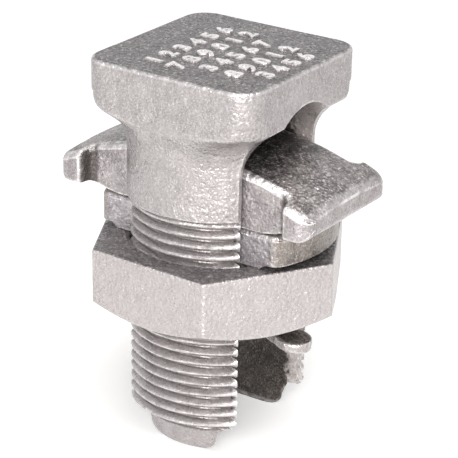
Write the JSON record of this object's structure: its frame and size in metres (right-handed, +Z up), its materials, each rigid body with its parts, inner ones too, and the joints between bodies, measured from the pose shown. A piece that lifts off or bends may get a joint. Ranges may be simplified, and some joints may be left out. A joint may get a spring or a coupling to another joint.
{
  "type": "split-bolt cable connector with spacer",
  "caption": "Forged split-bolt wire connector with a square head, a slotted threaded shank, a spacer bar with T ears, and a hex nut that carries a pressure bar.",
  "frame": {"origin": "midway between the tips of the two legs, on the bolt axis, on the surface that the connector stands on", "axes": "+Z up the bolt axis from the leg tips to the head, +X along the conductors through the slot, +Y across the slot from leg to leg"},
  "size_m": [0.0416, 0.034, 0.0568],
  "materials": {
    "tinned_bolt": "satin, tin plated",
    "tinned_spacer": "satin, tin plated, mottled",
    "tinned_bar": "satin, tin plated",
    "tinned_nut": "satin, tin plated"
  },
  "bodies": {
    "split_bolt": {"split_bolt": "tinned_bolt"},
    "pressure_bar": {"pressure_bar": "tinned_bar"},
    "hex_nut": {"hex_nut": "tinned_nut"},
    "spacer_bar": {"spacer_bar": "tinned_spacer"}
  },
  "joints": [
    {"name": "pressure_bar_slide", "type": "slide", "parent": "split_bolt", "child": "pressure_bar", "axis": [0, 0, 1], "range_m": [-0.01429, 0.0004]},
    {"name": "nut_turn", "type": "hinge", "parent": "pressure_bar", "child": "hex_nut", "pos_m": [0, 0, 0.0254], "axis": [0, 0, 1], "range_deg": [-3240, 90]},
    {"name": "spacer_lift", "type": "slide", "parent": "pressure_bar", "child": "spacer_bar", "axis": [0, 0, 1], "range_m": [0, 0.0012]}
  ],
  "couplings": [
    {"joint": "pressure_bar_slide", "follows": "nut_turn", "m_per_rad": 0.00025266}
  ]
}
